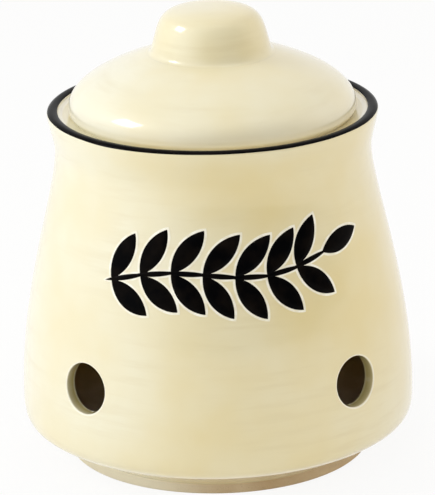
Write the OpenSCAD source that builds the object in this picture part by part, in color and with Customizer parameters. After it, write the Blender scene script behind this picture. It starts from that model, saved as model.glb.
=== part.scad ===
// Lidded ceramic keeper with air vents: a thrown-looking jar on a bare foot
// ring, a dark glazed rim, and a domed lid that sits on a ledge inside the lip.
// Millimetres, +Z up. The origin is the centre of the foot's underside, and the
// decorated front faces -Y.

/* [Jar] */
// Height of the jar to the crown of its rim
jar_h = 120; // [112:0.5:140]
// Diameter at the widest point of the belly
belly_d = 134.4; // [126:0.2:150]
// Height of the widest point of the belly
belly_z = 20; // [17:0.5:26]
// Diameter of the neck, the narrowest point of the wall
neck_d = 107.2; // [104:0.2:110]
// Distance from the rim's crown down to the neck
neck_drop = 14; // [11:0.5:18]
// Outer diameter of the rim
rim_d = 111.6; // [110.6:0.2:118]
// Thickness of the jar's wall
wall = 4; // [3:0.25:5]
// Thickness of the jar's floor
floor_t = 5; // [4:0.5:8]
// Height over which the belly keeps close to its full width
belly_hold = 37.6; // [25:0.2:42]
// Height over which the neck keeps close to its least width
neck_hold = 14.6; // [8:0.2:20]
// Roundness of the shoulder under the belly
shoulder_round = 12; // [8:0.5:13]
// Slope of the underside between the foot and the shoulder, in degrees
under_slope = 33.5; // [28:0.5:38]
// Length of the sloping underside
under_l = 14.7; // [11:0.1:15]

/* [Foot] */
// Outer diameter of the foot ring
foot_d = 103.6; // [96:0.2:106]
// Height of the foot ring
foot_h = 4.6; // [4.4:0.1:6]
// Width of the foot ring
foot_w = 5; // [3.5:0.25:8]
// Worn edge of the foot ring
foot_edge = 0.7; // [0.3:0.1:1.2]

/* [Rim and lid seat] */
// Width of the lip and of its dark band
lip_w = 3.6; // [3:0.1:4.5]
// Height of the dark band on the lip
band_h = 0.6; // [0.4:0.1:2]
// Depth of the lid's seat below the rim's crown
seat_depth = 2.5; // [2:0.1:5]
// Width of the ledge that carries the lid
ledge_w = 6.8; // [5.5:0.1:8]
// Thickness of the ledge at its free edge
ledge_t = 4; // [3:0.25:6]

/* [Vents] */
// Diameter of each air vent
vent_d = 18; // [12:0.5:22]
// Height of the vents' centres
vent_z = 37.5; // [32:0.5:48]
// Angle of each vent from the front or back centre line, in degrees
vent_angle = 42.9; // [32:0.1:58]

/* [Lid] */
// Gap between the lid's edge and the lip, all round
lid_gap = 3.8; // [1:0.1:4.2]
// Height of the lid's upright edge
lid_edge_h = 3.4; // [1.5:0.1:4.5]
// Rounding of the lid's lower edge
lid_edge_round = 0.6; // [0.3:0.1:1]
// Rise of the dome from the lid's edge to the knob
dome_rise = 17.9; // [16:0.1:24]
// Height over which the dome turns in from its edge
dome_turn = 8.5; // [6:0.1:11]
// Length of the dome's gentle slope below the knob
dome_slope_l = 11; // [8:0.1:18]
// Slope of the dome where it meets the knob, in degrees
dome_slope = 18.9; // [14:0.1:24]
// Thickness of the lid
lid_wall = 4; // [3:0.25:5]
// Depth of the locating skirt below the seat
skirt_h = 8; // [5:0.5:12]
// Thickness of the locating skirt
skirt_t = 3.6; // [3:0.1:5]
// Clearance of the skirt inside the jar's mouth
skirt_gap = 1; // [0.5:0.1:2]

/* [Knob] */
// Diameter of the knob's flared base
knob_base_d = 42.8; // [41:0.2:46]
// Diameter of the knob's waist above the flare
knob_d = 39; // [36:0.2:40.6]
// Height of the knob above the dome
knob_h = 15.7; // [14:0.1:22]
// Height of the flare at the knob's base
knob_flare_h = 3.7; // [2.5:0.1:5]
// Inward lean of the knob's side, in degrees
knob_lean = 15; // [8:1:18]
// Length of the knob's leaning side
knob_side_l = 9.7; // [7:0.1:11]
// Radius over which the knob's top stays nearly flat
knob_flat = 16.8; // [12:0.1:17.5]
// Thickness of the hollow knob
knob_wall = 4; // [3:0.25:5.5]

/* [Front motif] */
// Height of the middle of the leafy sprig
motif_z = 79; // [70:0.5:84]
// Angle round the jar that the sprig covers, in degrees
motif_span = 72; // [50:1:80]
// Climb of the stem from its left end to its right end
motif_rise = 7; // [0:0.5:10]
// Height of the stem's wave
motif_wave = 2.2; // [0:0.1:4]
// Number of leaf pairs along the stem
leaf_pairs = 7; // [4:1:8]
// Length of a leaf
leaf_l = 17.5; // [10:0.5:19]
// Width of a leaf
leaf_w = 7; // [4:0.25:9]
// Angle between a leaf and the stem, in degrees
leaf_tilt = 50; // [35:1:65]
// Width of the stem
stem_w = 1.5; // [1:0.1:2.5]
// Thickness of the dark glaze above the wall
glaze_t = 0.35; // [0.2:0.05:0.8]

/* [Hidden] */
$fn = 96;
curve_steps = 12;
vent_pairs = [0, 180];
cream_glaze = [0.96, 0.92, 0.80];
black_glaze = [0.05, 0.05, 0.05];
bare_clay = [0.78, 0.68, 0.54];

// Heights that follow from the driving sizes
floor_z = foot_h + floor_t;
neck_z = jar_h - neck_drop;
lip_z = jar_h - band_h;
seat_z = jar_h - seat_depth;
ledge_z = seat_z - ledge_t;
lid_edge_z = seat_z + lid_edge_h;
dome_top_z = lid_edge_z + dome_rise;
knob_waist_z = dome_top_z + knob_flare_h;
knob_top_z = dome_top_z + knob_h;

// Radii that follow from the driving sizes
belly_r = belly_d / 2;
neck_r = neck_d / 2;
rim_r = rim_d / 2;
foot_r = foot_d / 2;
lip_inner_r = rim_r - lip_w;
mouth_r = lip_inner_r - ledge_w;
lid_r = lip_inner_r - lid_gap;
skirt_r = mouth_r - skirt_gap;
skirt_inner_r = skirt_r - skirt_t;
knob_r = knob_d / 2;
knob_base_r = knob_base_d / 2;
knob_hollow_r = knob_r - knob_wall;

// A point and the unit tangent of a cubic curve, p being its four control points
function on_curve(p, t) =
    pow(1 - t, 3) * p[0] + 3 * pow(1 - t, 2) * t * p[1]
    + 3 * (1 - t) * pow(t, 2) * p[2] + pow(t, 3) * p[3];
function along_curve(p, t) =
    let (d = pow(1 - t, 2) * (p[1] - p[0]) + 2 * (1 - t) * t * (p[2] - p[1])
             + pow(t, 2) * (p[3] - p[2]))
    d / norm(d);
// Points of the curve, moved inward by a wall's thickness (outward if negative)
function curve_points(p, inward = 0) =
    [for (i = [0 : curve_steps])
        let (t = i / curve_steps, d = along_curve(p, t))
        on_curve(p, t) + inward * [-d[1], d[0]]];
function heading(angle) = [cos(angle), sin(angle)];
function reversed(list) = [for (i = [len(list) - 1 : -1 : 0]) list[i]];

// The jar's outline from the foot to the lip, as three smooth curves
under_curve = [
    [foot_r, foot_h],
    [foot_r, foot_h] + under_l * heading(under_slope),
    [belly_r, belly_z - shoulder_round],
    [belly_r, belly_z]
];
belly_curve = [
    [belly_r, belly_z],
    [belly_r, belly_z + belly_hold],
    [neck_r, neck_z - neck_hold],
    [neck_r, neck_z]
];
lip_curve = [
    [neck_r, neck_z],
    [neck_r, neck_z + (lip_z - neck_z) / 3],
    [rim_r, lip_z - (lip_z - neck_z) / 4],
    [rim_r, lip_z]
];
function jar_points(inward = 0) = concat(
    curve_points(under_curve, inward),
    curve_points(belly_curve, inward),
    curve_points(lip_curve, inward)
);

// The lid's dome and the knob's flare, side and hollow
dome_curve = [
    [lid_r, lid_edge_z],
    [lid_r, lid_edge_z + dome_turn],
    [knob_base_r, dome_top_z] + dome_slope_l * heading(-dome_slope),
    [knob_base_r, dome_top_z]
];
knob_flare_curve = [
    [knob_base_r, dome_top_z],
    [knob_base_r, dome_top_z] - (knob_base_r - knob_r) * 2 / 3 * heading(-dome_slope),
    [knob_r, knob_waist_z] - knob_flare_h / 2 * heading(90 + knob_lean),
    [knob_r, knob_waist_z]
];
knob_side_curve = [
    [knob_r, knob_waist_z],
    [knob_r, knob_waist_z] + knob_side_l * heading(90 + knob_lean),
    [knob_flat, knob_top_z],
    [0, knob_top_z]
];
knob_hollow_curve = [
    [knob_hollow_r, dome_top_z + knob_flare_h / 2],
    [knob_hollow_r, knob_top_z - knob_wall - knob_flare_h],
    [knob_flat - knob_wall, knob_top_z - knob_wall],
    [0, knob_top_z - knob_wall]
];

// Unglazed ring that the jar stands on, with its wiped edges worn round
module foot_ring() {
    color(bare_clay)
    rotate_extrude()
    polygon([
        [foot_r - foot_w, foot_edge],
        [foot_r - foot_w + foot_edge, 0],
        [foot_r - foot_edge, 0],
        [foot_r, foot_edge],
        [foot_r, foot_h],
        [foot_r - foot_w, foot_h]
    ]);
}

// Half section of the jar: wall, floor, and the ledge inside the lip
module jar_section() {
    ledge_root_r = neck_r - wall / 2;
    difference() {
        polygon(concat([[0, foot_h]], jar_points(), [[0, lip_z]]));
        difference() {
            intersection() {
                polygon(concat([[0, foot_h]], jar_points(wall), [[0, lip_z]]));
                translate([0, floor_z])
                square([belly_r, ledge_z - floor_z]);
            }
            polygon([
                [mouth_r, ledge_z],
                [ledge_root_r, ledge_z - (ledge_root_r - mouth_r)],
                [rim_r, ledge_z]
            ]);
        }
        translate([0, floor_z])
        square([mouth_r, jar_h]);
        translate([0, seat_z])
        square([lip_inner_r, jar_h]);
    }
}

// One cast piece: the glazed pot with its four round vents
module jar_body() {
    color(cream_glaze)
    difference() {
        rotate_extrude()
        jar_section();
        for (turn = vent_pairs, side = [-1, 1])
            rotate([0, 0, turn + side * vent_angle])
            translate([0, wall * 4 - belly_r, vent_z])
            rotate([90, 0, 0])
            cylinder(h = wall * 5, d = vent_d);
    }
}

// Dark glazed crown of the lip, a low bead above the cream wall
module rim_band() {
    arc_steps = 16;
    color(black_glaze)
    rotate_extrude()
    polygon([for (i = [0 : arc_steps])
        let (angle = 180 * i / arc_steps)
        [rim_r - lip_w / 2 + lip_w / 2 * cos(angle), lip_z + band_h * sin(angle)]
    ]);
}

// Outline of one leaf, its base at the origin and its tip along +X
module leaf() {
    arc_r = (pow(leaf_l, 2) + pow(leaf_w, 2)) / (4 * leaf_w);
    translate([leaf_l / 2, 0])
    intersection() {
        translate([0, arc_r - leaf_w / 2])
        circle(arc_r);
        translate([0, leaf_w / 2 - arc_r])
        circle(arc_r);
    }
}

// Where the stem is at a fraction of its length: angle round the jar and height
function stem_angle(t) = motif_span * (t - 0.5);
function stem_z(t) = motif_z + motif_rise * (t - 0.5) + motif_wave * sin(360 * t);
// Length of the stem's arc, and its slope there, measured on the wall
motif_r = (belly_r + neck_r) / 2;
stem_l = motif_r * motif_span * PI / 180;
function stem_slope(t) =
    atan2(motif_rise + motif_wave * 2 * PI * cos(360 * t), stem_l);

// Stands a flat shape up on the wall at a point of the stem
module on_wall(t) {
    rotate([0, 0, stem_angle(t)])
    translate([0, wall * 2 - motif_r, stem_z(t)])
    rotate([90, 0, 0])
    linear_extrude(wall * 4 + belly_r - neck_r)
    rotate(stem_slope(t))
    children();
}

// Leafy sprig in thick dark glaze across the front of the jar
module front_motif() {
    pair_step = 1 / leaf_pairs;
    link_l = stem_l * pair_step;
    color(black_glaze)
    intersection() {
        rotate_extrude()
        polygon(concat(curve_points(belly_curve), reversed(curve_points(belly_curve, -glaze_t))));
        union() {
            for (i = [0 : leaf_pairs - 1])
                on_wall((i + 0.5) * pair_step)
                square([link_l * 1.15, stem_w], center = true);
            for (i = [0 : leaf_pairs - 1], side = [-1, 1])
                on_wall(i * pair_step)
                rotate(side * leaf_tilt)
                leaf();
            on_wall(1)
            leaf();
        }
    }
}

// Domed cover with the skirt that keeps it centred in the mouth
module lid_dome() {
    color(cream_glaze)
    rotate_extrude()
    difference() {
        union() {
            polygon(concat(
                [[0, seat_z], [lid_r - lid_edge_round, seat_z], [lid_r, seat_z + lid_edge_round]],
                curve_points(dome_curve),
                [[0, dome_top_z]]
            ));
            translate([0, seat_z - skirt_h])
            square([skirt_r, skirt_h + lid_edge_h]);
        }
        intersection() {
            polygon(concat(
                [[0, seat_z - skirt_h], [lid_r - lid_wall, seat_z - skirt_h]],
                curve_points(dome_curve, lid_wall),
                [[0, dome_top_z - lid_wall]]
            ));
            translate([0, seat_z - skirt_h])
            square([skirt_inner_r, dome_top_z]);
        }
        translate([0, seat_z])
        square([knob_hollow_r, dome_top_z]);
    }
}

// Hollow knob, made by itself and joined to the top of the dome
module lid_knob() {
    color(cream_glaze)
    rotate_extrude()
    difference() {
        polygon(concat(
            [[0, dome_top_z]],
            curve_points(knob_flare_curve),
            curve_points(knob_side_curve)
        ));
        polygon(concat(
            [[0, dome_top_z], [knob_hollow_r, dome_top_z]],
            curve_points(knob_hollow_curve)
        ));
    }
}

foot_ring();
jar_body();
rim_band();
front_motif();
lid_dome();
lid_knob();
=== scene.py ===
# %% [markdown]
# # A glazed garlic keeper
# The object is a stoneware jar with air vents, a dark glazed lip and a domed lid. Its construction is
# already decided elsewhere, so this script starts from that fixed frame and only dresses it: every
# piece made here sits exactly where the frame says. The box of the bare frame is kept at once, to be
# printed beside the dressed object's box at the end.

# %% Load the frame
import math

import bmesh
import bpy
from mathutils import Matrix, Vector, noise
from mathutils.geometry import interpolate_bezier


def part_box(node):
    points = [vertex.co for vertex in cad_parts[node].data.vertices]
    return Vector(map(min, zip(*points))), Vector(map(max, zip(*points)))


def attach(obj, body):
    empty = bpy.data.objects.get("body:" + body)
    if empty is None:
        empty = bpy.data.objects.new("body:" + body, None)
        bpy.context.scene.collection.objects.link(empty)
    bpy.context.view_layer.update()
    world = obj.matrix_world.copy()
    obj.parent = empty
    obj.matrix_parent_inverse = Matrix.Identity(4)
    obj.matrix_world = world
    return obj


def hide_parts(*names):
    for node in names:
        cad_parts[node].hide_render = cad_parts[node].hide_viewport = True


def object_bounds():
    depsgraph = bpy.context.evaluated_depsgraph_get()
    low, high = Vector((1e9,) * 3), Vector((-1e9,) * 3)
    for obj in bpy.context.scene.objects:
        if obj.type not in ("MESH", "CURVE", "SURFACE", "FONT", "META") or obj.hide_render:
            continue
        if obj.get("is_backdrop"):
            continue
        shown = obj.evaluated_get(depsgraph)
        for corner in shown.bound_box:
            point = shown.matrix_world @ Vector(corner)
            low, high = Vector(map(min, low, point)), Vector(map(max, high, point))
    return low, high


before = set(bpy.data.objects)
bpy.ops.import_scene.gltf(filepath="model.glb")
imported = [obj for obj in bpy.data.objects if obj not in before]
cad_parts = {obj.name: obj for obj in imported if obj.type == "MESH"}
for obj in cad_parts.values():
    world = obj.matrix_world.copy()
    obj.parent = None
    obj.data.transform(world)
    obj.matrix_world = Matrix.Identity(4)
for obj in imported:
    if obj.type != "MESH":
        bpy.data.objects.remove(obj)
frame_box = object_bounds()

MM = 0.001

# %% [markdown]
# ## Sizes
# What the frame knows is read from the boxes of its nodes, so a changed frame moves the looks with it.
# Sizes that a box can't tell, such as the neck or the wall, are written here once, in millimetres, the
# way a potter would note them.

# %% Sizes that the frame gives
foot_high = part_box("foot_ring")[1]
jar_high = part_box("jar_body")[1]
band_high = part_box("rim_band")[1]
dome_low, dome_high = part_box("lid_dome")
knob_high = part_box("lid_knob")[1]

foot_r = foot_high.x
foot_h = foot_high.z
belly_r = max(jar_high.x, jar_high.y)
lip_z = jar_high.z
rim_r = band_high.x
crown_z = band_high.z
lid_r = dome_high.x
skirt_z = dome_low.z
dome_top_z = dome_high.z
knob_base_r = knob_high.x
knob_top_z = knob_high.z
print(f"belly {belly_r * 2 / MM:.1f} mm across, {knob_top_z / MM:.1f} mm tall with the lid")

# %% Sizes of the jar that are given here
neck_r = 53.6 * MM
neck_z = crown_z - 14 * MM
belly_z = 20 * MM
wall = 4 * MM
floor_z = foot_h + 5 * MM
foot_w = 5 * MM
glaze_line_z = 5.1 * MM
lip_inner_r = rim_r - 3.6 * MM
seat_z = crown_z - 2.5 * MM
mouth_r = lip_inner_r - 6.8 * MM
ledge_z = seat_z - 4 * MM
vent_r = 9 * MM
vent_z = 37.5 * MM
vent_side = math.radians(42.9)
print(f"the mouth is {mouth_r * 2 / MM:.1f} mm across")

# %% Sizes of the lid that are given here
lid_edge_z = seat_z + 3.4 * MM
lid_wall = 4 * MM
skirt_r = mouth_r - 1 * MM
skirt_inner_r = skirt_r - 3.6 * MM
knob_r = 19.5 * MM
knob_waist_z = dome_top_z + 3.7 * MM
knob_wall = 4 * MM
print(f"the lid is {lid_r * 2 / MM:.1f} mm across, its skirt {skirt_r * 2 / MM:.1f} mm")

# %% [markdown]
# ## Outlines
# A thrown or cast pot is a surface of revolution, so each piece begins as half of its own section: a
# list of points (radius, height). The long soft stretches are Bezier curves, because a few handles
# give the same easy line as a potter's rib, and a corner is rounded by a small arc, because glaze
# never leaves a sharp one.

# %% Curves in the (radius, height) plane
def heading(degrees, length):
    """A step in the section plane: 0 degrees points outwards and 90 up."""
    return Vector((math.cos(math.radians(degrees)), math.sin(math.radians(degrees)))) * length


def curve(start, start_handle, end_handle, end, count):
    """Points along one Bezier curve, both ends included."""
    points = interpolate_bezier(start, start_handle, end_handle, end, count)
    return [Vector(p[:2]) for p in points]


def inset(points, distance):
    """The same line moved to its left by a distance, as the inside of a wall follows its outside."""
    moved = []
    for i, point in enumerate(points):
        ahead = points[min(i + 1, len(points) - 1)] - points[max(i - 1, 0)]
        ahead.normalize()
        moved.append(point + distance * Vector((-ahead.y, ahead.x)))
    return moved


def corner(before, at, after, radius, count=6):
    """A corner rounded between two straight stretches, as an arc that leaves each one smoothly."""
    start = at + (before - at).normalized() * radius
    end = at + (after - at).normalized() * radius
    pull = 0.55
    return curve(start, start.lerp(at, pull), end.lerp(at, pull), end, count)


def radius_at(points, height):
    """The radius of a line at one height, for a line whose height only rises."""
    for low, high in zip(points, points[1:]):
        if low.y <= height <= high.y and high.y > low.y:
            return low.x + (high.x - low.x) * (height - low.y) / (high.y - low.y)
    raise ValueError(f"the line has no point at {height / MM:.2f} mm")


# %% The jar's wall as three curves
def spot(r, z):
    """A point of the section: its radius and its height."""
    return Vector((r, z))


CURVE_POINTS = 80
foot_slope = 33.5
under_line = curve(
    spot(foot_r, foot_h),
    spot(foot_r, foot_h) + heading(foot_slope, 14.7 * MM),
    spot(belly_r, belly_z - 12 * MM),
    spot(belly_r, belly_z),
    CURVE_POINTS,
)
belly_line = curve(
    spot(belly_r, belly_z),
    spot(belly_r, belly_z + 37.6 * MM),
    spot(neck_r, neck_z - 14.6 * MM),
    spot(neck_r, neck_z),
    CURVE_POINTS,
)
lip_line = curve(
    spot(neck_r, neck_z),
    spot(neck_r, neck_z + (lip_z - neck_z) / 3),
    spot(rim_r, lip_z - (lip_z - neck_z) / 4),
    spot(rim_r, lip_z),
    CURVE_POINTS,
)
outer_line = under_line + belly_line[1:] + lip_line[1:]
inner_line = inset(outer_line, wall)
print(f"wall at the vents: {radius_at(outer_line, vent_z) / MM:.1f} mm out from the axis")

# %% [markdown]
# ## A small workshop
# Three helpers carry a piece from section to finished object: one turns a section round the axis, one
# makes the object with its material and shading, and one gives a surface the faint unevenness of a
# hand-finished pot. A turn has 210 steps, about 2 mm each at the belly, so the outline looks round.

# %% Turning a section
TURN_STEPS = 210
TURN_ANGLE = math.tau / TURN_STEPS


def turned(outline):
    """A closed solid of revolution from an outline that starts and ends on the axis or on itself."""
    bm = bmesh.new()
    verts = [bm.verts.new((p.x, 0, p.y)) for p in outline]
    edges = [bm.edges.new(pair) for pair in zip(verts, verts[1:])]
    if outline[0].x > 0:
        edges.append(bm.edges.new((verts[-1], verts[0])))
    bmesh.ops.spin(
        bm,
        geom=verts + edges,
        cent=(0, 0, 0),
        axis=(0, 0, 1),
        angle=math.tau,
        steps=TURN_STEPS,
        use_merge=True,
    )
    bmesh.ops.remove_doubles(bm, verts=bm.verts, dist=0.002 * MM)
    bmesh.ops.delete(bm, geom=[e for e in bm.edges if e.is_wire], context="EDGES")
    bmesh.ops.recalc_face_normals(bm, faces=bm.faces)
    return bm


# %% Finishing an object
SHARP_ANGLE = math.radians(38)


def finished(name, bm, body, materials, stands_for=()):
    """Makes the object, shades it smooth with crisp corners, and lets it ride on its body."""
    mesh = bpy.data.meshes.new(name)
    bm.to_mesh(mesh)
    bm.free()
    for material in materials:
        mesh.materials.append(material)
    mesh.shade_smooth()
    mesh.set_sharp_from_angle(angle=SHARP_ANGLE)
    piece = bpy.data.objects.new(name, mesh)
    bpy.context.scene.collection.objects.link(piece)
    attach(piece, body)
    if stands_for:
        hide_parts(*stands_for)
    print(f"{name}: {len(mesh.polygons)} faces, {piece.dimensions.z / MM:.1f} mm high")
    return piece


# %% The unevenness of a finished pot
uneven = 0.1 * MM


def hand_finished(bm, low_z, high_z, seed):
    """Moves the surface in by soft rings and a slight wander, fading at both ends."""
    fade = 6 * MM
    ring = 5.5 * MM
    wander = 45 * MM
    ring_share = 0.4
    wander_share = 0.8
    for vert in bm.verts:
        out = Vector((vert.co.x, vert.co.y, 0))
        if not low_z < vert.co.z < high_z or out.length < fade:
            continue
        ends = min(1.0, (vert.co.z - low_z) / fade, (high_z - vert.co.z) / fade)
        rings = noise.noise(Vector((seed, out.angle(Vector((1, 0, 0))) * 0.6, vert.co.z / ring)))
        drift = noise.noise(vert.co / wander + Vector((0, seed, 0)))
        moved = ring_share * rings + wander_share * (drift - 1)
        vert.co += out.normalized() * uneven * ends * moved


# %% [markdown]
# ## Colours and nodes
# Colours are noted as hex values, the way a screen shows them, and one function turns them into the
# linear values that light is computed with. One small function adds a node, sets it and links it, so
# each material below reads as a list of what is in the glaze.

# %% Colour and node helpers
def linear(hex_code):
    """A screen colour such as F0E6C8 as linear red, green, blue and alpha."""
    channels = [int(hex_code[i : i + 2], 16) / 255 for i in (0, 2, 4)]
    return [c / 12.92 if c <= 0.04045 else ((c + 0.055) / 1.055) ** 2.4 for c in channels] + [1.0]


def add_node(tree, kind, settings=None, inputs=None):
    """Adds a node with its own settings, and its inputs as values or as the sockets that feed them."""
    node = tree.nodes.new(kind)
    for key, value in (settings or {}).items():
        setattr(node, key, value)
    for key, value in (inputs or {}).items():
        if isinstance(value, bpy.types.NodeSocket):
            tree.links.new(value, node.inputs[key])
        else:
            node.inputs[key].default_value = value
    return node


def per_mm(size_mm):
    """The scale of a pattern whose features are this many millimetres apart, for metres."""
    return 1000 / size_mm


def new_material(name):
    """A material with an empty node tree that holds only its output."""
    material = bpy.data.materials.new(name)
    material.use_nodes = True
    material.node_tree.nodes.clear()
    output = add_node(material.node_tree, "ShaderNodeOutputMaterial")
    return material, material.node_tree, output


# %% [markdown]
# ## Cream glaze
# The pot is stoneware under a glossy zircon-white glaze that iron in the clay turns to warm cream. A
# dipped glaze is never one flat colour: it drifts between paler and yellower patches the size of a
# thumb, and in places it shows faint level streaks from the turning. Its skin has the shallow
# waviness called orange peel, so a reflection wobbles a little at its edges. Light also spreads just
# under the skin, which the eye reads as a broad soft shine below the sharp one: the base is given a
# middling roughness for the first, and a clear coat for the second. Edges are painted paler, as a
# painted highlight, and the inside of a hole darker and yellower, as painted shade; both are marked on
# the mesh by one attribute. The right side, away from the key light, is painted warmer as painted
# shade, and the left paler as painted light, less so on the lid's broad dome. The rest is noise on
# Object coordinates, so it stays put.

# %% Painted shade: where the cream is warmer
def shade_side_warmth(tree, place, drift):
    """The drift of the glaze, shifted warm as painted shade on the right, away from the key light."""
    dome_middle_z = 128 * MM
    split = add_node(tree, "ShaderNodeSeparateXYZ", inputs={0: place})
    # Painted shade: 0 on the left, toward the key light, and 1 on the right, which is in shade.
    shaded_side = add_node(
        tree,
        "ShaderNodeMapRange",
        {"interpolation_type": "SMOOTHSTEP"},
        {"Value": split.outputs["X"], "From Min": -48 * MM, "From Max": 14 * MM},
    )
    from_dome = add_node(
        tree, "ShaderNodeMath", {"operation": "SUBTRACT"}, {0: split.outputs["Z"], 1: dome_middle_z}
    )
    off_dome = add_node(tree, "ShaderNodeMath", {"operation": "ABSOLUTE"}, {0: from_dome.outputs[0]})
    shade_share = add_node(
        tree,
        "ShaderNodeMapRange",
        inputs={
            "Value": off_dome.outputs[0],
            "From Min": 7 * MM,
            "From Max": 14 * MM,
            "To Min": -0.14,
            "To Max": -0.32,
        },
    )
    warmth = add_node(
        tree,
        "ShaderNodeMath",
        {"operation": "MULTIPLY_ADD"},
        {0: shaded_side.outputs["Result"], 1: shade_share.outputs["Result"], 2: drift},
    )
    return warmth.outputs[0]


# %% The streaks of the turning
def streaked(tree, colour, drift, streaks):
    """The colour with yellower streaks, which only show in patches."""
    where = add_node(
        tree,
        "ShaderNodeMapRange",
        inputs={"Value": drift, "From Min": 0.44, "From Max": 0.6, "To Max": 0.22},
    )
    streak = add_node(
        tree,
        "ShaderNodeMapRange",
        inputs={"Value": streaks, "From Min": 0.5, "From Max": 0.7, "To Max": where.outputs["Result"]},
    )
    mixed = add_node(
        tree,
        "ShaderNodeMix",
        {"data_type": "RGBA"},
        {0: streak.outputs["Result"], 6: colour, 7: linear("D3C08C")},
    )
    return mixed.outputs[2]


# %% Painted shade in the holes and painted highlight on the edges
def lit_edges_shaded_holes(tree, colour):
    """The colour: painted shade, yellower, where the mark is below 0; painted highlight, paler, above 0.
    """
    # Painted light: above 0 the mark is a pale painted highlight, below 0 a darker painted shade.
    mark = add_node(tree, "ShaderNodeAttribute", {"attribute_name": "edge_light_hole_shade"})
    hole_shade = add_node(
        tree,
        "ShaderNodeMapRange",
        inputs={"Value": mark.outputs["Fac"], "From Min": 0.0, "From Max": -1.0},
    )
    # Painted shade in the vent holes: darker and yellower.
    shade_tinted = add_node(
        tree,
        "ShaderNodeMix",
        {"data_type": "RGBA"},
        {0: hole_shade.outputs["Result"], 6: colour, 7: linear("B6A76C")},
    )
    # Painted highlight on edges: paler.
    edge_lit = add_node(
        tree,
        "ShaderNodeMix",
        {"data_type": "RGBA"},
        {0: mark.outputs["Fac"], 6: shade_tinted.outputs[2], 7: linear("FBF5E2")},
    )
    return edge_lit.outputs[2]


# %% The skin of the glaze
def orange_peel(tree, place, streaks):
    """A shallow bump of peel, 5 mm from crest to crest, with a little of the streaks in it."""
    peel = add_node(
        tree,
        "ShaderNodeTexNoise",
        inputs={"Vector": place, "Scale": per_mm(5), "Detail": 1.0, "Roughness": 0.4},
    )
    skin = add_node(
        tree,
        "ShaderNodeMath",
        {"operation": "MULTIPLY_ADD"},
        {0: streaks, 1: 0.35, 2: peel.outputs["Fac"]},
    )
    bump = add_node(
        tree,
        "ShaderNodeBump",
        inputs={"Height": skin.outputs[0], "Strength": 0.12, "Distance": 0.25 * MM},
    )
    return bump.outputs["Normal"]


# %% Cream glaze
def cream_glaze():
    """Glossy cream: a soft base with drift, streaks, run and pooled glaze, under a clear coat."""
    material, tree, output = new_material("cream_zircon_glaze")
    place = add_node(tree, "ShaderNodeTexCoord").outputs["Object"]
    level = add_node(tree, "ShaderNodeMapping", inputs={"Vector": place, "Scale": (0.1, 0.1, 1)})
    drift = add_node(
        tree,
        "ShaderNodeTexNoise",
        inputs={"Vector": place, "Scale": per_mm(42), "Detail": 3.0, "Roughness": 0.5},
    ).outputs["Fac"]
    streaks = add_node(
        tree,
        "ShaderNodeTexNoise",
        inputs={"Vector": level.outputs[0], "Scale": per_mm(3.2), "Detail": 3.0, "Roughness": 0.55},
    ).outputs["Fac"]
    # Painted shade: the cream is shifted warm on the side away from the key light.
    cream = add_node(tree, "ShaderNodeValToRGB", inputs={"Fac": shade_side_warmth(tree, place, drift)})
    warm, pale = cream.color_ramp.elements
    warm.position = 0.06
    warm.color = linear("E6D59E")
    pale.position = 0.58
    pale.color = linear("EDE7CB")
    cream = streaked(tree, cream.outputs["Color"], drift, streaks)
    roughness = add_node(
        tree, "ShaderNodeMapRange", inputs={"Value": drift, "To Min": 0.34, "To Max": 0.46}
    )
    skin = orange_peel(tree, place, streaks)
    glaze = add_node(
        tree,
        "ShaderNodeBsdfPrincipled",
        inputs={
            "Base Color": lit_edges_shaded_holes(tree, cream),
            "Roughness": roughness.outputs["Result"],
            "IOR": 1.5,
            "Normal": skin,
            "Coat Weight": 1.0,
            "Coat Roughness": 0.08,
            "Coat IOR": 1.5,
            "Coat Normal": skin,
        },
    )
    tree.links.new(glaze.outputs[0], output.inputs["Surface"])
    return material


CREAM = cream_glaze()
print("made", CREAM.name)

# %% [markdown]
# ## Inner glaze, darkened as painted shade
# The inside is a matt tan, darker and browner than the cream outside: painted shade for the dim inside
# of the closed jar. It is tan below the seat, and light that bounces about in the jar turns brown.

# %% Inner glaze, darkened as painted shade
def shaded_inner_glaze():
    """A matt tan, darkened as painted shade, that drifts a little."""
    material, tree, output = new_material("inner_tan_painted_shade")
    place = add_node(tree, "ShaderNodeTexCoord").outputs["Object"]
    wash = add_node(
        tree,
        "ShaderNodeTexNoise",
        inputs={"Vector": place, "Scale": per_mm(16), "Detail": 4.0, "Roughness": 0.55},
    )
    colour = add_node(tree, "ShaderNodeValToRGB", inputs={"Fac": wash.outputs["Fac"]})
    deeper_tan, paler_tan = colour.color_ramp.elements
    deeper_tan.position = 0.35
    # Painted shade: both tans are darker and browner than the cream outside.
    deeper_tan.color = linear("C8A662")
    paler_tan.position = 0.68
    paler_tan.color = linear("D8BD82")
    bump = add_node(
        tree,
        "ShaderNodeBump",
        inputs={"Height": wash.outputs["Fac"], "Strength": 0.2, "Distance": 0.3 * MM},
    )
    glaze = add_node(
        tree,
        "ShaderNodeBsdfPrincipled",
        inputs={
            "Base Color": colour.outputs["Color"],
            "Roughness": 0.5,
            "IOR": 1.5,
            "Normal": bump.outputs["Normal"],
        },
    )
    tree.links.new(glaze.outputs[0], output.inputs["Surface"])
    return material


SHADED_INNER = shaded_inner_glaze()
print("made", SHADED_INNER.name)

# %% [markdown]
# ## Black glaze
# The lip and the decoration carry a thick cobalt-iron black, brushed on over the cream. It stays deep
# black in a pale room and mirrors far less than the cream does, so its specular level is held close
# to none. Where it thins, a little brown shows.

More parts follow.
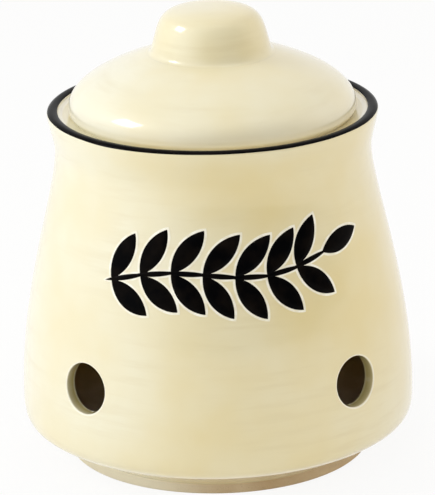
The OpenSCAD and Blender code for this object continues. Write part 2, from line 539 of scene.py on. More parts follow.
# %% Black glaze
def black_glaze():
    """Deep black with hardly any mirror in it."""
    material, tree, output = new_material("brushed_black_glaze")
    place = add_node(tree, "ShaderNodeTexCoord").outputs["Object"]
    pools = add_node(
        tree,
        "ShaderNodeTexNoise",
        inputs={"Vector": place, "Scale": per_mm(6), "Detail": 3.0},
    )
    colour = add_node(tree, "ShaderNodeValToRGB", inputs={"Fac": pools.outputs["Fac"]})
    deep, brown = colour.color_ramp.elements
    deep.position = 0.4
    deep.color = linear("060607")
    brown.position = 0.75
    brown.color = linear("14100D")
    roughness = add_node(
        tree,
        "ShaderNodeMapRange",
        inputs={"Value": pools.outputs["Fac"], "To Min": 0.06, "To Max": 0.2},
    )
    bump = add_node(
        tree,
        "ShaderNodeBump",
        inputs={"Height": pools.outputs["Fac"], "Strength": 0.2, "Distance": 0.2 * MM},
    )
    glaze = add_node(
        tree,
        "ShaderNodeBsdfPrincipled",
        inputs={
            "Base Color": colour.outputs["Color"],
            "Roughness": roughness.outputs["Result"],
            "IOR": 1.5,
            "Specular IOR Level": 0.02,
            "Normal": bump.outputs["Normal"],
        },
    )
    tree.links.new(glaze.outputs[0], output.inputs["Surface"])
    return material


BLACK = black_glaze()
print("made", BLACK.name)

# %% [markdown]
# ## Pale outline
# A brush of wax round a motif keeps the black back and leaves a thin line where the glaze is thinner
# and paler. It is the same glassy finish as the cream, only lighter.

# %% Pale outline
def pale_outline():
    """Glassy cream-white, a little broken."""
    material, tree, output = new_material("pale_resist_line")
    place = add_node(tree, "ShaderNodeTexCoord").outputs["Object"]
    broken = add_node(
        tree,
        "ShaderNodeTexNoise",
        inputs={"Vector": place, "Scale": per_mm(3), "Detail": 2.0},
    )
    colour = add_node(tree, "ShaderNodeValToRGB", inputs={"Fac": broken.outputs["Fac"]})
    dull, bright = colour.color_ramp.elements
    dull.position = 0.35
    dull.color = linear("EFE8CF")
    bright.position = 0.65
    bright.color = linear("FBF7E8")
    glaze = add_node(
        tree,
        "ShaderNodeBsdfPrincipled",
        inputs={"Base Color": colour.outputs["Color"], "Roughness": 0.18, "IOR": 1.5},
    )
    tree.links.new(glaze.outputs[0], output.inputs["Surface"])
    return material


PALE = pale_outline()
print("made", PALE.name)

# %% [markdown]
# ## Bare stoneware
# The foot is wiped clean so that it doesn't stick to the kiln shelf. Bare fired clay is dry and
# sandy: grains of grog a little under a millimetre apart, small iron specks, and darker toasted
# patches. On its left side, the side of the key light, the foot is painted pale, near the glaze's colour.

# %% Clay and its specks
def specked_clay(tree, place):
    """Sandy clay with toasted patches and a dark speck in the middle of some grains."""
    toast = add_node(
        tree,
        "ShaderNodeTexNoise",
        inputs={"Vector": place, "Scale": per_mm(14), "Detail": 4.0},
    )
    clay = add_node(tree, "ShaderNodeValToRGB", inputs={"Fac": toast.outputs["Fac"]})
    toasted, sandy = clay.color_ramp.elements
    toasted.position = 0.35
    toasted.color = linear("C9AE88")
    sandy.position = 0.7
    sandy.color = linear("DBC6A4")
    grains = add_node(
        tree,
        "ShaderNodeTexVoronoi",
        inputs={"Vector": place, "Scale": per_mm(0.9), "Randomness": 1.0},
    )
    specks = add_node(
        tree,
        "ShaderNodeMapRange",
        inputs={
            "Value": grains.outputs["Distance"],
            "From Min": 0.06,
            "From Max": 0.16,
            "To Min": 0.55,
            "To Max": 0.0,
        },
    )
    specked = add_node(
        tree,
        "ShaderNodeMix",
        {"data_type": "RGBA"},
        {0: specks.outputs["Result"], 6: clay.outputs["Color"], 7: linear("7A5E3E")},
    )
    return specked.outputs[2]


# %% Bare stoneware
def bare_stoneware():
    """Specked clay with grit, painted pale at the left, the side of the key light."""
    material, tree, output = new_material("bare_fired_stoneware")
    place = add_node(tree, "ShaderNodeTexCoord").outputs["Object"]
    split = add_node(tree, "ShaderNodeSeparateXYZ", inputs={0: place})
    # The foot is painted pale on its left side, the side of the key light.
    pale_left = add_node(
        tree,
        "ShaderNodeMapRange",
        {"interpolation_type": "SMOOTHSTEP"},
        {"Value": split.outputs["X"], "From Min": 6 * MM, "From Max": -26 * MM, "To Max": 0.85},
    )
    colour = add_node(
        tree,
        "ShaderNodeMix",
        {"data_type": "RGBA"},
        {0: pale_left.outputs["Result"], 6: specked_clay(tree, place), 7: linear("F6EFD8")},
    )
    grit = add_node(
        tree,
        "ShaderNodeTexNoise",
        inputs={"Vector": place, "Scale": per_mm(0.6), "Detail": 2.0},
    )
    bump = add_node(
        tree,
        "ShaderNodeBump",
        inputs={"Height": grit.outputs["Fac"], "Strength": 0.5, "Distance": 0.15 * MM},
    )
    body = add_node(
        tree,
        "ShaderNodeBsdfPrincipled",
        inputs={"Base Color": colour.outputs[2], "Roughness": 0.78, "Normal": bump.outputs["Normal"]},
    )
    tree.links.new(body.outputs[0], output.inputs["Surface"])
    return material


BARE = bare_stoneware()
print("made", BARE.name)

# %% [markdown]
# ## Jar
# The jar is one casting: outer wall, lip, a ledge for the lid, inner wall and floor. It could be a
# curve with thickness added, but the ledge makes the inside a different line from the outside, so the
# whole closed section is drawn in four stretches and turned. Where the vents will go, the rows of the
# outside and the inside are laid at the same heights, so that a hole can join them cleanly. The inner
# edge of the lip is painted paler as a painted highlight, marked by its radius and height.

# %% Rows of the wall
row_h = TURN_ANGLE * belly_r
vent_half_rows = 8
vent_rows = [vent_z + row_h * k for k in range(-vent_half_rows, vent_half_rows + 1)]


def spaced(low, high, count):
    """Heights after low, up to and including high."""
    return [low + (high - low) * (i + 1) / count for i in range(count)]


wall_rows = vent_rows + spaced(vent_rows[-1], neck_z, 34)
print(f"{len(wall_rows)} rows of {row_h / MM:.1f} mm and more up to the neck")

# %% The rounded lip
lip_middle = (rim_r + lip_inner_r) / 2
lip_half = (rim_r - lip_inner_r) / 2
lip_rise = 1.25 * MM
lip_low_z = crown_z - lip_rise
lip_rows = spaced(neck_z, lip_low_z - 0.1 * MM, 12)
print(f"the lip is {lip_half * 2 / MM:.1f} mm thick")


def lip_point(angle, depth):
    """A point of the lip's rounded outer side, this far under the glaze; the angle rises from 0."""
    return spot(
        lip_middle + (lip_half - depth) * math.cos(angle),
        lip_low_z + (lip_rise - depth) * math.sin(angle),
    )


# %% The jar's outside
def jar_outside():
    """Under the foot, out over the step where the glaze begins, and up the wall."""
    glaze_step = 0.25 * MM
    step_round = 0.2 * MM
    under = [spot(r, foot_h) for r in (0, foot_r * 0.5, foot_r - foot_w, foot_r)]
    line = spot(radius_at(under_line, glaze_line_z), glaze_line_z)
    clay = line + heading(foot_slope + 90, glaze_step)
    glazed = [p for p in under_line if p.y > glaze_line_z + 0.6 * MM]
    step = [under[-1].lerp(clay, 0.5), clay]
    step += corner(clay, line, glazed[0], step_round, 5)[1:]
    wall_part = glazed[::4] + [spot(belly_r, belly_z)]
    wall_part += [spot(radius_at(outer_line, z), z) for z in wall_rows + lip_rows]
    return under + step + wall_part


# %% The jar's lip and seat
def jar_lip():
    """Over the lip, just under its black glaze, and round its inner edge."""
    under_glaze = 0.04 * MM
    over = [lip_point(math.radians(9 * i), under_glaze) for i in range(9)]
    crown = spot(lip_middle, lip_z + 0.1 * MM)
    inner_edge = corner(spot(rim_r, lip_z), spot(lip_inner_r, lip_z), spot(lip_inner_r, seat_z), 0.5 * MM)
    return over + [crown] + inner_edge


def jar_seat(root):
    """Down the gallery beside the lid, over the ledge that it sits on, and back under to the wall."""
    gallery = curve(
        spot(lip_inner_r, lip_z - 0.5 * MM),
        spot(lip_inner_r, seat_z + 0.8 * MM),
        spot(lip_inner_r - 2.6 * MM, seat_z + 0.4 * MM),
        spot(lip_inner_r - 5.2 * MM, seat_z),
        14,
    )
    ledge = corner(spot(lip_inner_r, seat_z), spot(mouth_r, seat_z), spot(mouth_r, ledge_z), 0.8 * MM)
    ledge += corner(spot(mouth_r, seat_z), spot(mouth_r, ledge_z), root, 1.6 * MM)
    return gallery[1:] + ledge


# %% The jar's inside
def jar_inside(root):
    """Down the inner wall, round its foot and in over the floor to the axis."""
    low_z = 14 * MM
    low = spot(radius_at(inner_line, low_z), low_z)
    heights = [z for z in reversed(wall_rows) if z < root.y - MM] + [20 * MM, 18 * MM, 16 * MM]
    down = [spot(radius_at(inner_line, z), z) for z in heights]
    round_foot = curve(
        low, low - heading(60, 3 * MM), spot(low.x - 5 * MM, floor_z), spot(low.x - 10 * MM, floor_z), 8
    )
    floor_part = [spot(low.x * share, floor_z) for share in (0.6, 0.35, 0.15, 0)]
    return [root] + down + round_foot + floor_part


# %% Painted highlight on an edge
def mark_painted_light(bm, light_at):
    """Marks the painted light, from 0 to 1, as a function of radius and height."""
    mark = bm.verts.layers.float.new("edge_light_hole_shade")
    for vert in bm.verts:
        vert[mark] = min(max(light_at(vert.co.xy.length, vert.co.z), 0), 1)


def highlight_on_lip(radius, height):
    """A pale painted highlight on the lip's inner edge."""
    return 0.9 if lip_inner_r - 1.5 * MM < radius < lip_middle and height > seat_z else 0


# %% Turn the jar
root_z = ledge_z - 5.5 * MM
ledge_root = spot(radius_at(inner_line, root_z), root_z)
jar = turned(jar_outside() + jar_lip() + jar_seat(ledge_root) + jar_inside(ledge_root))
# The lip's inner edge gets a pale painted highlight.
mark_painted_light(jar, highlight_on_lip)
print(f"jar before the vents: {len(jar.faces)} faces")

# %% [markdown]
# ## Vents
# A vent is cut with a tube while the clay is leather hard, and its edges are wiped soft with a wet
# finger. A Boolean would do it but leaves long thin faces that catch the gloss, so each hole is woven
# in instead: a square patch of both walls is deleted, and rings of edges are extruded from the square
# to a circle, over the soft edge, through the wall and back out to the square inside. The rings carry
# the painted-light mark too: a pale painted highlight over the soft edge and darker painted shade in
# the hole.

# %% A point of the wall, seen square on
def wall_point(azimuth, across, height, line, sink=0.0):
    """A point of the turned wall beside a direction (0 is the front, positive to the right)."""
    out = Vector((math.sin(azimuth), -math.cos(azimuth), 0))
    side = Vector((math.cos(azimuth), math.sin(azimuth), 0))
    radius = radius_at(line, height)
    return out * (math.sqrt(radius**2 - across**2) - sink) + side * across + Vector((0, 0, height))


# %% List the rings of one vent
soft_edge = 0.4 * MM
collar = 0.3 * MM


def vent_rings():
    """Rings as (share of the way from square to circle, radius, wall's line, sink, painted light mark).
    """
    tube = vent_r - soft_edge
    rings = [(k / 4, vent_r, outer_line, 0.0, 0.0) for k in (1, 2, 3)]
    rings += [(1, vent_r + collar, outer_line, 0.0, 0.0)]
    # Painted highlight over the soft edge, painted shade where it turns into the hole.
    bends = [(math.radians(a), light_mark) for a, light_mark in ((0, 0.7), (30, 0.9), (60, 0.7), (90, -0.3))]
    for line, sign, order in ((outer_line, 1, bends), (inner_line, -1, bends[::-1])):
        for a, light_mark in order:
            radius = vent_r - soft_edge * math.sin(a)
            rings.append((1, radius, line, sign * soft_edge * (1 - math.cos(a)), light_mark))
        if line is outer_line:
            # Painted shade down the hole.
            rings.append((1, tube, outer_line, wall * 0.3, -0.6))
            rings.append((1, tube, inner_line, -wall * 0.3, -1.0))
    rings += [(k / 3, vent_r, inner_line, 0.0, 0.0) for k in (2, 1, 0)]
    return rings


# %% Open a square in both walls
def open_square(bm, azimuth):
    """Deletes a square of both walls, and gives the open edges of the outer one."""
    half_rows = vent_half_rows - 0.25
    patch = []
    for face in bm.faces:
        centre = face.calc_center_median()
        turn = math.atan2(centre.x, -centre.y) - azimuth
        turn = (turn + math.pi) % math.tau - math.pi
        if abs(turn) < half_rows * TURN_ANGLE and abs(centre.z - vent_z) < half_rows * row_h:
            patch.append(face)
    bmesh.ops.delete(bm, geom=patch, context="FACES")
    return [
        e
        for e in bm.edges
        if e.is_boundary
        and all(v.co.xy.length > radius_at(outer_line, v.co.z) - wall / 2 for v in e.verts)
    ]


# %% Weave the rings of one vent
def pierce(bm, azimuth):
    """Cuts one vent through the jar's wall at an azimuth, and marks its painted highlight and shade
    there.
    """
    mark = bm.verts.layers.float["edge_light_hole_shade"]
    ring = open_square(bm, azimuth)
    side = Vector((math.cos(azimuth), math.sin(azimuth), 0))
    square = {v: (v.co.dot(side), v.co.z) for e in ring for v in e.verts}
    for share, circle_r, line, sink, light_mark in vent_rings():
        made = bmesh.ops.extrude_edge_only(bm, edges=ring)["geom"]
        fresh = [g for g in made if isinstance(g, bmesh.types.BMVert)]
        moved = {}
        for vert in fresh:
            source = next(
                e.other_vert(vert) for e in vert.link_edges if e.other_vert(vert) in square
            )
            moved[vert] = square[source]
            vert[mark] = light_mark
            across, height = square[source]
            turn = math.atan2(height - vent_z, across)
            across *= radius_at(line, height) / radius_at(outer_line, height)
            round_across = circle_r * math.cos(turn)
            round_height = vent_z + circle_r * math.sin(turn)
            vert.co = wall_point(
                azimuth,
                across + (round_across - across) * share,
                height + (round_height - height) * share,
                line,
                sink,
            )
        square = moved
        ring = [g for g in made if isinstance(g, bmesh.types.BMEdge) and all(v in moved for v in g.verts)]
    return len(square)


# %% Cut the four vents
vent_turn = round(vent_side / TURN_ANGLE) * TURN_ANGLE
for azimuth in (-vent_turn, vent_turn, math.pi - vent_turn, math.pi + vent_turn):
    count = pierce(jar, azimuth)
    print(f"vent at {math.degrees(azimuth):.1f} degrees: rings of {count} points")
bmesh.ops.remove_doubles(jar, verts=jar.verts, dist=0.02 * MM)
bmesh.ops.recalc_face_normals(jar, faces=jar.faces)
open_edges = sum(1 for e in jar.edges if not e.is_manifold)
print("open edges in the jar:", open_edges)
hand_finished(jar, foot_h + 8 * MM, lip_z - 6 * MM, 3.0)

# %% [markdown]
# ## Coats of the jar
# The jar is one mesh, so its faces carry three materials: cream outside, bare clay below the glaze
# line, and inside a darker tan that is painted shade. The line itself is wiped with a sponge on a
# slowly turning wheel. Here the sponge was held lower at the front, so the line dips there, and the
# ring below it too.

# %% Which coat a face has
jar_coats = [CREAM, BARE, SHADED_INNER]


def coat_at(centre):
    """The glaze at a point of the jar's surface, or the bare clay."""
    radius = centre.xy.length
    if centre.z < glaze_line_z and radius < foot_r + 3 * MM:
        return BARE
    # Painted shade: faces inside the jar take the darker tan.
    if centre.z < seat_z - 0.6 * MM and radius < radius_at(outer_line, centre.z) - wall * 0.97:
        return SHADED_INNER
    return CREAM


for face in jar.faces:
    face.material_index = jar_coats.index(coat_at(face.calc_center_median()))

# %% The wiped line
wipe_drop = 1.4 * MM
wipe_fade = 7 * MM


def wiped_line(bm):
    """Lowers the join of glaze and foot at the front, less and less up the wall and down the foot."""
    for vert in bm.verts:
        height = vert.co.z
        radius = vert.co.xy.length
        outside = (radius - foot_r + foot_w) / foot_w
        if height > foot_h + wipe_fade or outside <= 0:
            continue
        front = max(0.0, -vert.co.y / radius)
        drop = wipe_drop * front**2 * min(outside, 1)
        if height > foot_h:
            vert.co.z -= drop * (1 - (height - foot_h) / wipe_fade)
        else:
            vert.co.z *= 1 - drop / foot_h


wiped_line(jar)
finished("jar_glazed", jar, "jar", jar_coats, ["jar_body"])

# %% [markdown]
# ## Foot ring
# The foot is trimmed on the wheel and left bare. Its lower edges are worn round by the shelf it has
# stood on, which a small arc in the section shows.

# %% Foot ring
def foot_outline():
    """Round the worn bottom, up the inner side, out along the join and back down."""
    inner = foot_r - foot_w
    worn = 0.9 * MM
    outline = corner(spot(foot_r, foot_h), spot(foot_r, 0), spot(inner, 0), worn)
    outline += corner(spot(foot_r, 0), spot(inner, 0), spot(inner, foot_h), worn)
    outline += [spot(inner, foot_h * 0.6), spot(inner, foot_h), spot(foot_r - foot_w / 2, foot_h)]
    outline += [spot(foot_r, foot_h), spot(foot_r, foot_h * 0.6)]
    return outline


foot = turned(foot_outline())
wiped_line(foot)
finished("foot_ring_bare", foot, "jar", [BARE], ["foot_ring"])

# %% [markdown]
# ## Rim band
# The lip is banded with black on the wheel: a loaded brush is held on its crown while the pot turns.
# The glaze draws up into a bead on the rounded lip, and its lower edge wanders where the brush
# dipped, further down on one side. So the band is a thin shell over the lip, whose lower edge is then
# moved along the lip by an angle that depends on the side.

# %% The band's section
band_start = math.radians(20)
band_sink = 0.09 * MM


def band_outline():
    """The shell's section: over the outer side, down the inner one, and back under the glaze."""
    turns = [band_start + (math.pi / 2 - band_start) * i / 12 for i in range(13)]
    over = [lip_point(a, 0) for a in turns]
    rise = crown_z - lip_z
    inner = [spot(lip_middle - lip_half * math.sin(a), lip_z + rise * math.cos(a)) for a in turns[1:]]
    under = [lip_point(a, band_sink) for a in turns]
    return over + inner + [spot(lip_middle, lip_z - 0.1 * MM)] + under[::-1]


# %% The brushed edge
def brush_end(side):
    """Degrees up the lip at which the black ends: lower at the front left, and a little uneven."""
    usual = 26
    dip_depth = 12
    dip_side = -38
    dip_width = 24
    most_wander = 5
    dip = math.exp(-(((math.degrees(side) - dip_side) / dip_width) ** 2))
    wander = noise.noise(Vector((math.sin(side), math.cos(side), 0)) * 4)
    return usual - dip_depth * dip + most_wander * wander


def brushed_edge(bm):
    """Moves the band's lower edge along the lip, to an angle that depends on the side."""
    crown = math.pi / 2
    for vert in bm.verts:
        radius = vert.co.xy.length
        if radius <= lip_middle:
            continue
        turn = math.atan2((vert.co.z - lip_low_z) / lip_rise, (radius - lip_middle) / lip_half)
        depth = (lip_point(turn, 0) - spot(radius, vert.co.z)).length
        low = math.radians(brush_end(math.atan2(vert.co.x, -vert.co.y)))
        moved = lip_point(low + (turn - band_start) / (crown - band_start) * (crown - low), depth)
        vert.co.xy *= moved.x / radius
        vert.co.z = moved.y


# %% Rim band
band = turned(band_outline())
brushed_edge(band)
bmesh.ops.recalc_face_normals(band, faces=band.faces)
finished("rim_band_black", band, "jar", [BLACK], ["rim_band"])

# %% [markdown]
# ## Lid
# The lid is a dome whose edge tucks in to a flat seat, which rests on the jar's ledge, and a skirt that
# keeps it centred. Towards that edge the glaze is painted paler, as painted light against the gallery's
# shade. The knob was made by itself and joined on before firing, so it is its own piece, but glaze
# flowed over the join: the dome's line and the knob's line share one slope where they meet.

# %% The lid's lines
dome_slope = 18.9
dome_line = curve(
    spot(lid_r, lid_edge_z),
    spot(lid_r, lid_edge_z + 8.5 * MM),
    spot(knob_base_r, dome_top_z) + heading(-dome_slope, 11 * MM),
    spot(knob_base_r, dome_top_z),
    48,
)
knob_lean = 15
flare_line = curve(
    spot(knob_base_r, dome_top_z),
    spot(knob_base_r, dome_top_z) - heading(-dome_slope, (knob_base_r - knob_r) * 2 / 3),
    spot(knob_r, knob_waist_z) - heading(90 + knob_lean, 1.85 * MM),
    spot(knob_r, knob_waist_z),
    14,
)
knob_flat = 16.8 * MM
knob_line = curve(
    spot(knob_r, knob_waist_z),
    spot(knob_r, knob_waist_z) + heading(90 + knob_lean, 9.7 * MM),
    spot(knob_flat, knob_top_z),
    spot(0, knob_top_z),
    48,
)


# %% The dome's section
hollow_r = knob_r - knob_wall


def dome_outline():
    """Round the skirt, over the seat and the dome, into the knob, and back under the dome."""
    skirt_round = 1 * MM
    inside = [p for p in inset(dome_line, lid_wall) if p.x < skirt_inner_r - 0.6 * MM]
    tuck = spot(lid_r - 1.4 * MM, seat_z)
    seat = [tuck] + corner(tuck, spot(lid_r, seat_z + 1.8 * MM), spot(lid_r, lid_edge_z), 0.6 * MM)
    low_in = spot(skirt_inner_r, skirt_z)
    low_out = spot(skirt_r, skirt_z)
    skirt = corner(spot(skirt_inner_r, seat_z), low_in, low_out, skirt_round)
    skirt += corner(low_in, low_out, spot(skirt_r, seat_z), skirt_round)
    skirt += [spot(skirt_r, skirt_z + 4 * MM), spot(skirt_r, seat_z)]
    opening = [spot(hollow_r, dome_top_z), spot(hollow_r, dome_top_z - lid_wall * 0.9)]
    skirt_inside = [spot(skirt_inner_r, lid_edge_z), spot(skirt_inner_r, skirt_z + 6 * MM)]
    return skirt + seat + dome_line + opening + inside[::-1][1:] + skirt_inside


# %% Dome
def light_toward_lid_edge(radius, height):
    """Painted light: paler over the last 8 mm above the lid's edge."""
    reach = 8 * MM
    return 0.3 * (lid_edge_z + reach - height) / reach if radius > skirt_r and height > seat_z else 0


dome = turned(dome_outline())
# Painted light: the dome is paler towards its edge, against the gallery's shade.
mark_painted_light(dome, light_toward_lid_edge)
hand_finished(dome, lid_edge_z, dome_top_z, 8.0)
finished("lid_dome_glazed", dome, "lid", [CREAM], ["lid_dome"])

# %% Knob
def knob_outline():
    """Down the hollow from its top, and up the outside."""
    hollow_top_z = knob_top_z - knob_wall
    hollow = curve(
        spot(hollow_r, dome_top_z + 1.85 * MM),
        spot(hollow_r, hollow_top_z - 3.7 * MM),
        spot(knob_flat - knob_wall, hollow_top_z),
        spot(0, hollow_top_z),
        24,
    )
    return hollow[::-1] + [spot(hollow_r, dome_top_z)] + flare_line + knob_line[1:]


finished("lid_knob_glazed", turned(knob_outline()), "lid", [CREAM], ["lid_knob"])

# %% [markdown]
# ## Sprig on the front
# The decoration is a simple leafy sprig in black, brushed on thick. Each leaf is one dab of the
# brush: it begins as a flat grid, is drawn to the shape between two arcs, raised in the middle like a
# bead of glaze, and laid on the wall where the frame has it. A thinner, wider dab of pale glaze under
# it leaves an outline.

# %% Where the stem runs
motif_low, motif_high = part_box("front_motif")
motif_span = math.radians(72)
motif_mid_z = 79 * MM
motif_rise = 7 * MM
motif_wave = 2.2 * MM
motif_r = (belly_r + neck_r) / 2
stem_l = motif_r * motif_span
leaf_pairs = 7
leaf_l = 17.5 * MM
leaf_w = 7 * MM
leaf_tilt = math.radians(50)
stem_w = 1.5 * MM
print(f"a stem {stem_l / MM:.0f} mm long with {2 * leaf_pairs + 1} leaves")
print(f"the frame has it from {motif_low.z / MM:.0f} to {motif_high.z / MM:.0f} mm high")


def stem_place(share):
    """Azimuth, height and slope of the stem at a share of its length."""
    height = motif_mid_z + motif_rise * (share - 0.5) + motif_wave * math.sin(math.tau * share)
    climb = motif_rise + motif_wave * math.tau * math.cos(math.tau * share)
    return motif_span * (share - 0.5), height, math.atan2(climb, stem_l)


# %% One dab of the brush
dab_sink = 0.25 * MM
stem_gap = 0.05 * MM


def half_width(along, length, width):
    """Half the width of a leaf between two arcs; along runs from -1 to 1."""
    arc_r = (length**2 + width**2) / (4 * width)
    return math.sqrt(max(arc_r**2 - (along * length / 2) ** 2, 0)) - arc_r + width / 2


def dab(bm, share, tilt, length, width, thickness, grow=0.0, centred=False):
    """Lays one leaf-shaped dab on the wall, its base beside the stem or its middle on it."""
    azimuth, height, slope = stem_place(share)
    turn = Matrix.Rotation(slope + tilt, 2)
    base = bmesh.ops.create_grid(bm, x_segments=22, y_segments=8, size=1)["verts"]
    faces = list({f for v in base for f in v.link_faces})
    top = bmesh.ops.extrude_face_region(bm, geom=faces)["geom"]
    top = [g for g in top if isinstance(g, bmesh.types.BMVert)]
    start = 0 if centred else length / 2 + stem_gap
    for verts, lift in ((base, -dab_sink), (top, thickness)):
        for vert in verts:
            along, aside = vert.co.xy
            reach = half_width(along, length, width) + grow * (1 - abs(along) ** 6)
            flat = turn @ Vector((start + along * (length / 2 + grow * 1.6), aside * reach))
            bead = lift if lift < 0 else lift * (1 - abs(aside) ** 3) * (1 - abs(along) ** 8)
            vert.co = wall_point(azimuth, flat.x, height + flat.y, outer_line, -bead)


# %% The sprig and its outline
def sprig(thickness, grow):
    """The whole sprig: overlapping links of the stem, leaf pairs and the last leaf."""
    bm = bmesh.new()
    step = 1 / leaf_pairs
    link_l = stem_l * step * 1.5
    link_w = stem_w * 1.25
    for i in range(leaf_pairs):
        dab(bm, (i + 0.5) * step, 0, link_l, link_w, thickness, grow, centred=True)
        for side in (-1, 1):
            dab(bm, i * step, side * leaf_tilt, leaf_l, leaf_w, thickness, grow)
    dab(bm, 1, 0, leaf_l, leaf_w, thickness, grow)
    bmesh.ops.remove_doubles(bm, verts=bm.verts, dist=0.01 * MM)
    bmesh.ops.recalc_face_normals(bm, faces=bm.faces)
    return bm


black_t = 0.35 * MM
outline_t = 0.07 * MM
outline_w = 0.55 * MM
finished("sprig_black", sprig(black_t, 0), "jar", [BLACK], ["front_motif"])
finished("sprig_outline", sprig(outline_t, outline_w), "jar", [PALE])

# %% [markdown]
# ## Floor and light
# The photograph shows the pot cut out on white, lit softly from the left. A small softbox high on the
# left is the one light that the glaze mirrors as a bright patch. Bigger ones, at a lower brightness,
# fill from the left, the right, the front and behind, and the rest comes from an even pale room. The
# floor is white to the camera but keeps a soft contact shadow.

# %% Rays that see the background
def sees_background(tree):
    """1 for rays from the camera, a mirror or glass, and 0 for rays that carry light to the pot."""
    path = add_node(tree, "ShaderNodeLightPath")
    either = add_node(
        tree,
        "ShaderNodeMath",
        {"operation": "MAXIMUM"},
        {0: path.outputs["Is Camera Ray"], 1: path.outputs["Is Glossy Ray"]},
    )
    any_of = add_node(
        tree,
        "ShaderNodeMath",
        {"operation": "MAXIMUM"},
        {0: either.outputs[0], 1: path.outputs["Is Transmission Ray"]},
    )
    return any_of.outputs[0]


# %% Floor
def studio_floor(kept_shadow):
    """White paper under the pot; kept_shadow is how much of its real shading the camera sees."""
    material, tree, output = new_material("white_studio_paper")
    paper = add_node(tree, "ShaderNodeBsdfDiffuse", inputs={"Color": linear("F4F2EC")})
    glow = add_node(tree, "ShaderNodeEmission", inputs={"Color": linear("FFFFFF"), "Strength": 1.0})
    seen = add_node(
        tree,
        "ShaderNodeMath",
        {"operation": "MULTIPLY"},
        {0: sees_background(tree), 1: 1.0 - kept_shadow},
    )
    mix = add_node(
        tree, "ShaderNodeMixShader", inputs={0: seen.outputs[0], 1: paper.outputs[0], 2: glow.outputs[0]}
    )
    tree.links.new(mix.outputs[0], output.inputs["Surface"])
    bm = bmesh.new()
    floor_r = 2.5
    bmesh.ops.create_circle(bm, cap_ends=True, segments=96, radius=floor_r)
    mesh = bpy.data.meshes.new("studio_floor")
    bm.to_mesh(mesh)
    bm.free()
    mesh.materials.append(material)
    just_below = Matrix.Translation((0, 0, -0.05 * MM))
    mesh.transform(just_below)
    floor = bpy.data.objects.new("studio_floor", mesh)
    bpy.context.scene.collection.objects.link(floor)
    floor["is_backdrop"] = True
    return floor


print("floor:", studio_floor(kept_shadow=0.1).name)

# %% The room as the glaze mirrors it
def mirrored_room(tree):
    """How bright the room is in a mirror: white, but dark to the right of the camera."""
    look = add_node(tree, "ShaderNodeTexCoord").outputs["Generated"]
    dark_side = math.radians(28)
    towards = add_node(
        tree,
        "ShaderNodeVectorMath",
        {"operation": "DOT_PRODUCT"},
        {0: look, 1: (math.sin(dark_side), -math.cos(dark_side), 0)},
    )
    mirrored = add_node(
        tree,
        "ShaderNodeMapRange",
        {"interpolation_type": "SMOOTHSTEP"},
        {
            "Value": towards.outputs["Value"],
            "From Min": 0.2,
            "From Max": 0.85,
            "To Min": 1.0,
            "To Max": 0.05,
        },
    )
    return mirrored.outputs[0]


# %% Room light
def room_light(strength):
    """A pale room: white to the camera, this strong as a light, and partly dark to a mirror."""
    world = bpy.data.worlds.new("pale_room")
    world.use_nodes = True
    tree = world.node_tree
    tree.nodes.clear()
    path = add_node(tree, "ShaderNodeLightPath")
    seen = add_node(
        tree,
        "ShaderNodeMapRange",
        inputs={"Value": sees_background(tree), "To Min": strength, "To Max": 1.0},
    )
    level = add_node(
        tree,
        "ShaderNodeMix",
        {"data_type": "FLOAT"},
        {0: path.outputs["Is Glossy Ray"], 2: seen.outputs["Result"], 3: mirrored_room(tree)},
    )
    light = add_node(
        tree,
        "ShaderNodeBackground",
        inputs={"Color": linear("FFFFFF"), "Strength": level.outputs[0]},
    )
    add_node(tree, "ShaderNodeOutputWorld", inputs={"Surface": light.outputs[0]})
    bpy.context.scene.world = world
    return world


print("world:", room_light(strength=0.62).name)

# %% Lamps
def softbox(name, azimuth, elevation, distance, size, watts, aim_z, tint="FFFFFF"):
    """A soft area lamp that looks at the pot from a direction; azimuth 0 is the camera's side."""
    turn = math.radians(azimuth)
    tilt = math.radians(elevation)
    back = Vector((math.sin(turn) * math.cos(tilt), -math.cos(turn) * math.cos(tilt), math.sin(tilt)))
    lamp = bpy.data.lights.new(name, "AREA")
    lamp.shape = "RECTANGLE"
    lamp.size, lamp.size_y = size
    lamp.energy = watts
    lamp.color = linear(tint)[:3]
    holder = bpy.data.objects.new(name, lamp)
    holder.location = Vector((0, 0, aim_z)) + back * distance
    holder.rotation_mode = "QUATERNION"
    holder.rotation_quaternion = back.to_track_quat("Z", "Y")
    bpy.context.scene.collection.objects.link(holder)
    return holder


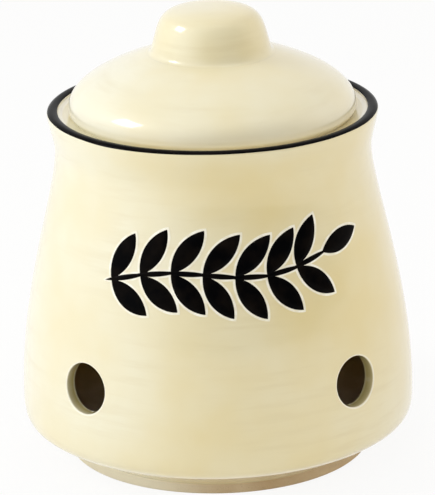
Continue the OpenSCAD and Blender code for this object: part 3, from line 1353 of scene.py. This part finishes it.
# %% Set the lamps: one that the glaze mirrors, and four that it doesn't
softbox("left_key", -83, 37, 1.0, size=(0.34, 0.28), watts=3.5, aim_z=0.1, tint="FAFCFF")
fills = [
    softbox("left_wall", -70, 8, 1.2, size=(1.1, 0.7), watts=3.0, aim_z=0.08, tint="F6FAFF"),
    softbox("right_fill", 85, 22, 1.2, size=(0.7, 0.8), watts=2.8, aim_z=0.08, tint="FFF5E8"),
    softbox("front_fill", -8, 28, 1.4, size=(1.2, 0.6), watts=1.45, aim_z=0.1),
    softbox("back_top", 180, 70, 1.0, size=(0.8, 0.6), watts=1.0, aim_z=0.1),
]
for fill in fills:
    fill.visible_glossy = False
print("fills:", [fill.name for fill in fills])

# %% [markdown]
# ## Camera
# The camera was worked out from the photograph: the ellipses of the rim and the foot give how far
# down it looks, and how quickly the pot tapers away gives how far off it is. It leans very slightly,
# and the pot is turned a degree from square on.

# %% Camera
def photo_camera():
    """The camera that gives the photograph's view of the pot."""
    look_down = math.radians(18.51)
    lean = math.radians(1.196)
    pot_turn = math.radians(-0.92)
    distance = 1133.4 * MM
    aim = Vector((0.73 * MM, 0, 69.31 * MM))
    long_side_px = 495
    focal_px = 3320.7
    sensor_mm = 36.0
    right = Vector((1, 0, 0))
    up = Vector((0, math.sin(look_down), math.cos(look_down)))
    back = Vector((0, -math.cos(look_down), math.sin(look_down)))
    leaned_right = right * math.cos(lean) - up * math.sin(lean)
    leaned_up = right * math.sin(lean) + up * math.cos(lean)
    axes = Matrix((leaned_right, leaned_up, back)).transposed().to_4x4()
    data = bpy.data.cameras.new("photo_camera")
    data.sensor_width = sensor_mm
    data.lens = focal_px / long_side_px * sensor_mm
    data.clip_start = 0.05
    data.clip_end = 20
    placed = Matrix.Translation(aim + back * distance) @ axes
    camera = bpy.data.objects.new("photo_camera", data)
    camera.matrix_world = Matrix.Rotation(pot_turn, 4, "Z") @ placed
    bpy.context.scene.collection.objects.link(camera)
    bpy.context.scene.camera = camera
    print(f"lens {data.lens:.1f} mm, camera at {[round(c, 3) for c in camera.matrix_world.translation]}")


photo_camera()
bpy.context.scene.view_settings.view_transform = "Standard"

# %% [markdown]
# ## Last look at the boxes
# The dressed pot should fill the same box as the bare frame, so both boxes are printed.

# %% Print the boxes
dressed_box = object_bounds()
boxes = {
    "frame": [list(frame_box[0]), list(frame_box[1])],
    "dressed": [list(dressed_box[0]), list(dressed_box[1])],
}
for name, (low, high) in boxes.items():
    print(name, [round((b - a) / MM, 2) for a, b in zip(low, high)], "mm")
